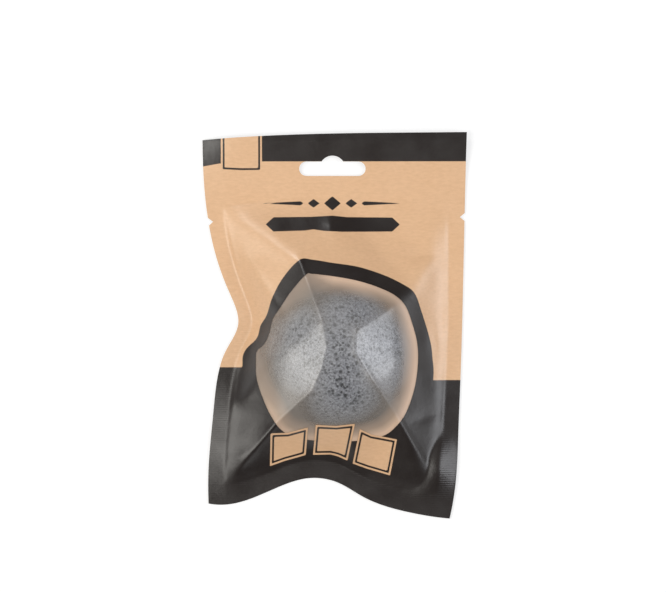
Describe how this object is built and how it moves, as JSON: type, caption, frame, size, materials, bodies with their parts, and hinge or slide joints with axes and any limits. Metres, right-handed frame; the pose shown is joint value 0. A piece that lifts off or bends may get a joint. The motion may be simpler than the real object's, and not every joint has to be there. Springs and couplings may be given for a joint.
{
  "type": "konjac sponge in a hanging pouch",
  "caption": "Half-ball charcoal konjac face sponge heat-sealed in a flat kraft-look film pouch with a frosted round window, tear notches and a hanging slot",
  "frame": {"origin": "middle of the pouch in plan, on the surface that its back lies on", "axes": "+X to the right seen from the front, +Y from the bottom seal to the hanging slot, +Z out of the front"},
  "size_m": [0.132, 0.1932, 0.0317],
  "materials": {
    "sponge_foam": "dry open-pored konjac sponge, charcoal grey, dull",
    "printed_ply": "satin film printed kraft brown with black blocks",
    "frosted_film": "frosted translucent sealing film",
    "melted_seal": "melted bond of the two sealing films, ribbed by the sealing bar"
  },
  "bodies": {
    "pouch": {"front_panel": "printed_ply", "window_film": "frosted_film", "left_side_seal": "melted_seal", "right_side_seal": "melted_seal", "bottom_seal": "melted_seal", "back_film": "frosted_film", "back_panel": "printed_ply"},
    "header": {"header_front_panel": "printed_ply", "header_front_film": "frosted_film", "header_seal": "melted_seal", "header_back_film": "frosted_film", "header_back_panel": "printed_ply"},
    "sponge": {"sponge": "sponge_foam"}
  },
  "joints": [
    {"name": "header_tear", "type": "hinge", "parent": "pouch", "child": "header", "pos_m": [0.06501, 0.05415, 0.00035], "axis": [0, 0, -1], "range_deg": [0, 110]},
    {"name": "sponge_out", "type": "slide", "parent": "pouch", "child": "sponge", "axis": [0, 1, 0], "range_m": [0, 0.116], "deforming": ["front_panel", "window_film"]}
  ],
  "couplings": [
    {"joint": "sponge_out", "follows": "header_tear", "m_per_rad": 0.06}
  ]
}
